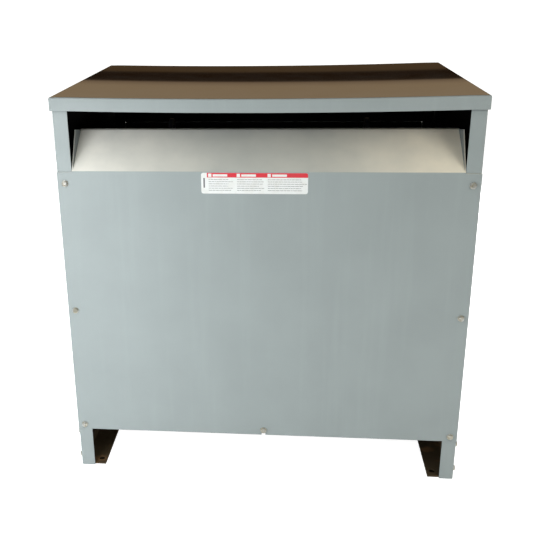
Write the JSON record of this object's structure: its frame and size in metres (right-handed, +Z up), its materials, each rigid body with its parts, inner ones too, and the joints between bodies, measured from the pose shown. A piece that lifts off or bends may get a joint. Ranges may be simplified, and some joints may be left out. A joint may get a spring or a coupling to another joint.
{
  "type": "ventilated dry-type transformer",
  "caption": "Floor-standing ventilated three-phase transformer: screwed grey sheet-metal enclosure with sloping air deflectors, round a clamped laminated core with coils and terminals.",
  "frame": {"origin": "on the floor, under the middle of the enclosure", "axes": "+Z up; +X to the right seen from the front; the front faces -Y"},
  "size_m": [0.7648, 0.508, 0.762],
  "materials": {
    "panel_paint": "semi-gloss powder coat, mid grey",
    "roof_paint": "semi-gloss powder coat, mid grey",
    "zinc": "bright zinc plate",
    "base_steel": "dark primer",
    "clamp_paint": "dark grey paint",
    "core_steel": "varnished silicon-steel laminations",
    "rubber_pad": "moulded rubber",
    "insulation": "varnished pressboard",
    "terminal_board": "glass-polyester board",
    "standoff": "moulded polyester",
    "lv_conductor": "sheet winding, varnished paper edges",
    "hv_coil": "varnished wire winding",
    "bus_bar": "tin-plated aluminium bar",
    "copper_bar": "bare copper",
    "brass_stud": "brass hardware",
    "label_film": "printed vinyl label"
  },
  "bodies": {
    "enclosure": {"roof": "roof_paint", "side_panel_left": "panel_paint", "side_panel_right": "panel_paint", "side_screws": "zinc", "roof_nuts": "zinc", "panel_weld_nuts": "zinc", "lower_tie_rail_front": "panel_paint", "lower_tie_rail_rear": "panel_paint", "base_rail_left": "base_steel", "base_rail_right": "base_steel", "cross_member_front": "base_steel", "cross_member_rear": "base_steel", "rail_bolts": "zinc", "isolation_pads": "rubber_pad", "pad_bolts": "zinc", "core_lower_yoke": "core_steel", "core_upper_yoke": "core_steel", "core_leg_a": "core_steel", "core_leg_b": "core_steel", "core_leg_c": "core_steel", "yoke_insulation": "insulation", "lower_core_clamp_front": "clamp_paint", "lower_core_clamp_rear": "clamp_paint", "upper_core_clamp_front": "clamp_paint", "upper_core_clamp_rear": "clamp_paint", "clamp_bolts": "zinc", "core_tie_rods": "zinc", "lifting_bracket_left": "clamp_paint", "lifting_bracket_right": "clamp_paint", "lifting_bracket_bolts": "zinc", "coil_formers": "insulation", "duct_spacers": "insulation", "lv_winding_a": "lv_conductor", "lv_winding_b": "lv_conductor", "lv_winding_c": "lv_conductor", "hv_winding_a": "hv_coil", "hv_winding_b": "hv_coil", "hv_winding_c": "hv_coil", "coil_blocks_lower": "insulation", "coil_blocks_upper": "insulation", "tap_boards": "terminal_board", "tap_terminals": "brass_stud", "tap_links": "copper_bar", "hv_terminal_board": "terminal_board", "hv_terminals": "bus_bar", "delta_link_ab": "bus_bar", "delta_link_bc": "bus_bar", "delta_link_ca": "bus_bar", "lv_terminal_board": "terminal_board", "lv_standoffs": "standoff", "lv_terminals": "bus_bar", "neutral_bar": "bus_bar", "ground_bar": "copper_bar", "bonding_strap": "copper_bar"},
    "front_cover": {"front_panel": "panel_paint", "front_panel_screws": "zinc", "front_label": "label_film"},
    "rear_cover": {"rear_panel": "panel_paint", "rear_panel_screws": "zinc"}
  },
  "joints": [
    {"name": "front_panel_removal", "type": "slide", "parent": "enclosure", "child": "front_cover", "axis": [0, -1, 0], "range_m": [0, 0.3]},
    {"name": "rear_panel_removal", "type": "slide", "parent": "enclosure", "child": "rear_cover", "axis": [0, 1, 0], "range_m": [0, 0.3]}
  ]
}
